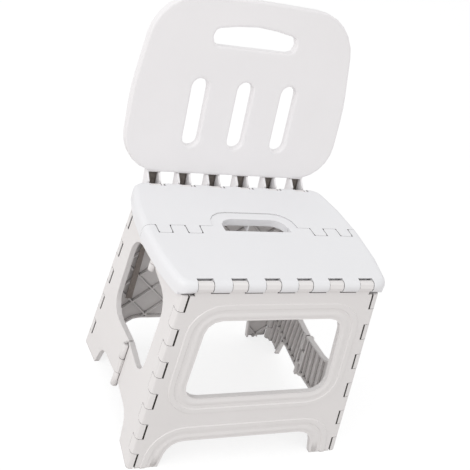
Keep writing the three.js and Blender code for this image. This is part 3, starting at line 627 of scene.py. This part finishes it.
def four_corners(foot_half, head_half, foot, head):
    """The corners of an opening, once round from its right foot."""
    return np.array([(foot_half, foot), (head_half, head), (-head_half, head), (-foot_half, foot)])


def window_outline(margin):
    """The window's outline, further out by a margin, closed."""
    wide, narrow = WINDOW_FOOT_HALF + margin, WINDOW_HEAD_HALF + margin
    foot, head = up_leg(WINDOW_FOOT) - margin, up_leg(WINDOW_HEAD) + margin
    line = filleted(four_corners(wide, narrow, foot, head), WINDOW_CORNER + margin)
    return np.concatenate([line, line[:1]])


def arch_outline(margin):
    """The arch's outline, further out by a margin: a foot, the arcs of both head corners, a foot."""
    wide, narrow = ARCH_FOOT_HALF + margin, ARCH_HEAD_HALF + margin
    corners = four_corners(wide, narrow, up_leg(ARCH_FOOT), up_leg(ARCH_HEAD) + margin)
    arcs = filleted(corners, ARCH_CORNER + margin)
    return np.concatenate([corners[:1], arcs[ARC_STEPS : 3 * ARC_STEPS], corners[3:]])


print("window outline:", len(window_outline(0)), "points, arch outline:", len(arch_outline(0)))

# %% Soft beads
BEAD_NEAR = 2.5 * MM
BEAD_FAR = 12.5 * MM
BEAD_HEIGHT = 0.8 * MM
BEAD_SUNK = 0.2 * MM
BEAD_COLUMNS = 9


def bead(outline):
    """Point (s, v) = outline(s, margin(v)) on the leg's face, raised by height * sin(pi v) squared."""
    v = np.linspace(0, 1, BEAD_COLUMNS)
    margins = BEAD_NEAR + (BEAD_FAR - BEAD_NEAR) * v
    flat = np.stack([outline(margin) for margin in margins], axis=1)
    raised = FACE - BEAD_SUNK + (BEAD_HEIGHT + BEAD_SUNK) * np.sin(math.pi * v) ** 2
    across = flat[..., :1] * np.array([1.0, 0, 0])
    return FRONT_ROD + across + flat[..., 1:] * LEG_UP + raised[None, :, None] * LEG_OUT


beads = [bead(window_outline), bead(arch_outline)]
carried_sheets("front_leg_beads", beads, panel_plastic, "front_leg")

# %% [markdown]
# ## Recesses inside the rear leg
# Through the side window a dark upright strip shows at the edge of the rear leg's lattice: the ribs stop
# there, and leave a shaded step that ends a third of the way up. Cutting the ribs away in CAD would cost
# more faces than the step is worth. A lining of painted shade over the ribs' crests stands for it, a little
# wider at its foot, and thin enough to stay clear when the side folds onto it.

# %% Painted shade of the recesses
REAR_LEG_UP = LEG_UP * (1, -1, 1)
REAR_LEG_OUT = LEG_OUT * (1, -1, 1)
CREST_DEPTH = 4.8 * MM
RECESS_CLEAR = 0.2 * MM
RECESS_FOOT, RECESS_HEAD = 94 * MM, 272 * MM
RECESS_INNER, RECESS_OUTER = 110 * MM, 116 * MM
RECESS_SPREAD = 0.025
RECESS_SPREADS_BELOW = 285 * MM
RECESS_ROWS, RECESS_COLUMNS = 10, 6


def recess_sheet():
    """Point (i, j) = crest + leg up * climb(i) - out * clearance, at x = -(inner..outer(i))."""
    crest = REAR_ROD - REAR_LEG_OUT * CREST_DEPTH
    height = np.linspace(RECESS_FOOT, RECESS_HEAD, RECESS_ROWS)[:, None, None]
    outer = RECESS_OUTER + RECESS_SPREAD * (RECESS_SPREADS_BELOW - height)
    share = np.linspace(0, 1, RECESS_COLUMNS)[None, :, None]
    across = (RECESS_INNER + (outer - RECESS_INNER) * share) * np.array([-1.0, 0, 0])
    climb = (height - crest[2]) / REAR_LEG_UP[2]
    return crest + across + climb * REAR_LEG_UP - REAR_LEG_OUT * RECESS_CLEAR


recess = recess_sheet()
# A sheet of painted shade for the step beside the rear leg's lattice, on each side.
carried_sheets("rear_leg_recess_painted_shade", [recess, recess * MIRROR], recess_shade, "rear_leg")

# %% [markdown]
# ## Studio
# The picture is a cut-out on white. A pale floor catches a soft shadow, and it shows as white to the
# camera and in reflections, as the world does. Brighter lamps would make it white too, but they would
# bleach the stool. The lamps are large and weak instead, so that the plastic keeps its own colour: a key
# from the upper left, a faint one overhead, a fill from the right, and an even world.


# %% Floor
FLOOR_COLOUR = "#DDDAD9"
FLOOR_SHADOW = 0.3
FLOOR_GLOW = 0.78
FLOOR_HALF = 40.0


def seen_directly(tree):
    """A socket that is 1 for rays from the camera or from a glossy face, and 0 for all others."""
    ray = add_node(tree, "ShaderNodeLightPath")
    seen = add_node(
        tree,
        "ShaderNodeMath",
        {0: ray.outputs["Is Camera Ray"], 1: ray.outputs["Is Glossy Ray"]},
        operation="MAXIMUM",
    )
    return seen.outputs[0]


def pale_floor(name):
    """Warm grey that lights the object from below, but nearly white to the camera and in reflections."""
    material, tree, output = new_material(name)
    diffuse = add_node(tree, "ShaderNodeBsdfDiffuse", {"Color": linear(FLOOR_COLOUR)})
    faint = add_node(tree, "ShaderNodeBsdfDiffuse", {"Color": (*[FLOOR_SHADOW] * 3, 1)})
    glow = add_node(tree, "ShaderNodeEmission", {"Color": (1, 1, 1, 1), "Strength": FLOOR_GLOW})
    both = add_node(tree, "ShaderNodeAddShader", {0: faint.outputs[0], 1: glow.outputs[0]})
    mix = add_node(
        tree,
        "ShaderNodeMixShader",
        {0: seen_directly(tree), 1: diffuse.outputs[0], 2: both.outputs[0]},
    )
    tree.links.new(mix.outputs[0], output.inputs["Surface"])
    return material


floor_mesh = bpy.data.meshes.new("floor")
floor_square = np.array([(-1, -1, 0), (1, -1, 0), (1, 1, 0), (-1, 1, 0)]) * FLOOR_HALF
floor_mesh.from_pydata(floor_square.tolist(), [], [(0, 1, 2, 3)])
floor = bpy.data.objects.new("floor", floor_mesh)
bpy.context.scene.collection.objects.link(floor)
floor.data.materials.append(pale_floor("pale_floor"))
print("floor of", 2 * FLOOR_HALF, "m")

# %% Lamps
SOFTBOX_SIZE = 1.8
LIT_POINT = Vector((0, 0, 0.28))
SOFTBOXES = {
    "key": ((-2.0, -0.8, 1.7), 22.5),
    "top": ((0.0, 0.2, 2.4), 2.5),
    "fill": ((1.7, -1.3, 1.0), 4.5),
}


def softbox(name, place, watts):
    """A square area lamp that faces the middle of the stool."""
    data = bpy.data.lights.new(name, "AREA")
    data.shape = "SQUARE"
    data.size = SOFTBOX_SIZE
    data.energy = watts
    lamp = bpy.data.objects.new(name, data)
    bpy.context.scene.collection.objects.link(lamp)
    lamp.location = place
    lamp.rotation_mode = "QUATERNION"
    lamp.rotation_quaternion = (LIT_POINT - Vector(place)).to_track_quat("-Z", "Y")


for name, (place, watts) in SOFTBOXES.items():
    softbox(name, place, watts)
    print(name, "softbox of", watts, "W")

# %% World
WORLD_LIGHT = 0.7
WORLD_SEEN = 1.0

world = bpy.data.worlds.new("studio")
bpy.context.scene.world = world
world.use_nodes = True
world_tree = world.node_tree
world_tree.nodes.clear()
world_output = world_tree.nodes.new("ShaderNodeOutputWorld")
strength = add_node(
    world_tree,
    "ShaderNodeMapRange",
    {"Value": seen_directly(world_tree), "To Min": WORLD_LIGHT, "To Max": WORLD_SEEN},
)
sky = add_node(
    world_tree,
    "ShaderNodeBackground",
    {"Color": (1, 1, 1, 1), "Strength": strength.outputs["Result"]},
)
world_tree.links.new(sky.outputs[0], world_output.inputs["Surface"])
bpy.context.scene.view_settings.view_transform = "Standard"
print("world strength", WORLD_LIGHT, "on the stool and", WORLD_SEEN, "as seen")

# %% [markdown]
# ## Sizes
# Last, the scene is brought up to date. No lining of painted shade, cover or bead stands out past the
# mouldings, so the box round the dressed stool is that of the CAD model.

# %% Bring the scene up to date
bpy.context.view_layer.update()
